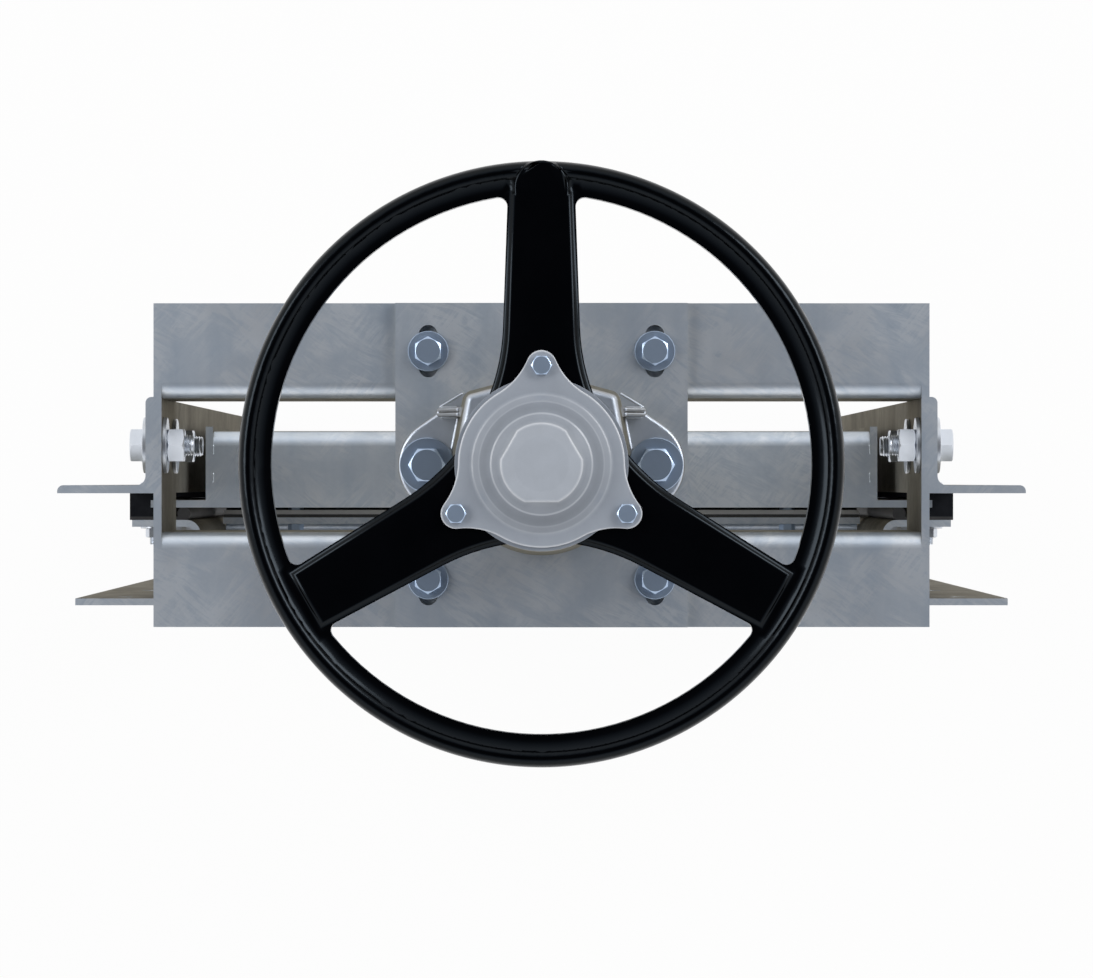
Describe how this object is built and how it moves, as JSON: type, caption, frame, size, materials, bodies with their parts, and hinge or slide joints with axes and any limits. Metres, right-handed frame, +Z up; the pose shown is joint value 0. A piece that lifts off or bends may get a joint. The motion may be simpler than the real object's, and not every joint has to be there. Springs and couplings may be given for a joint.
{
  "type": "sluice gate",
  "caption": "Wall mounted sluice gate with a folded steel frame, a leaf that slides in plastic guides, and a spoked handwheel that turns a non-rising stem on a yoke.",
  "frame": {"origin": "on the wall face of the sill, at the middle of the foot of the frame", "axes": "+Y into the wall, +Z up, +X to the right of someone facing the gate"},
  "size_m": [0.82, 0.43, 1.919],
  "materials": {
    "galvanized_steel": "hot dip galvanized, dull",
    "zinc_bolts": "bright zinc plated",
    "stainless_bar": "bright drawn stainless",
    "grey_casting": "silver painted casting",
    "black_enamel": "glossy black enamel",
    "frosted_plastic": "frosted translucent",
    "black_plastic": "black sliding plastic",
    "black_rubber": "dull black",
    "stem_steel": "turned steel",
    "bronze": "machined bronze"
  },
  "bodies": {
    "frame": {"left_frame_channel": "galvanized_steel", "right_frame_channel": "galvanized_steel", "sill_beam": "galvanized_steel", "sill_seat": "galvanized_steel", "sill_seal": "black_rubber", "lintel_beam": "galvanized_steel", "lintel_seal": "black_rubber", "lintel_seal_bar": "stainless_bar", "lintel_seal_bolts": "zinc_bolts", "left_bulb_seal": "black_rubber", "right_bulb_seal": "black_rubber", "left_guide_strip": "black_plastic", "right_guide_strip": "black_plastic", "left_upright_angle": "galvanized_steel", "right_upright_angle": "galvanized_steel", "left_guide_bolts": "zinc_bolts", "right_guide_bolts": "zinc_bolts", "front_yoke_channel": "galvanized_steel", "rear_yoke_channel": "galvanized_steel", "left_yoke_end_plate": "galvanized_steel", "right_yoke_end_plate": "galvanized_steel", "left_yoke_bolts": "zinc_bolts", "right_yoke_bolts": "zinc_bolts", "drive_plate": "galvanized_steel", "drive_plate_bolts": "zinc_bolts", "bearing_housing": "grey_casting", "bearing_housing_bolts": "zinc_bolts"},
    "handwheel": {"handwheel": "black_enamel", "hub_nut": "zinc_bolts", "stem": "stem_steel", "stem_cap": "frosted_plastic", "cap_bolts": "zinc_bolts"},
    "gate": {"gate_plate": "galvanized_steel", "gate_top_beam": "galvanized_steel", "gate_middle_beam": "galvanized_steel", "gate_bottom_beam": "galvanized_steel", "left_gate_side_plate": "galvanized_steel", "right_gate_side_plate": "galvanized_steel", "stem_nut": "bronze", "stem_nut_bolts": "zinc_bolts"}
  },
  "joints": [
    {"name": "handwheel_turn", "type": "hinge", "parent": "frame", "child": "handwheel", "pos_m": [0, -0.121, 1.885], "axis": [0, 0, -1], "range_deg": [0, 36000]},
    {"name": "gate_lower", "type": "slide", "parent": "frame", "child": "gate", "axis": [0, 0, -1], "range_m": [0, 0.6]}
  ],
  "couplings": [
    {"joint": "gate_lower", "follows": "handwheel_turn", "m_per_rad": 0.00095493}
  ]
}
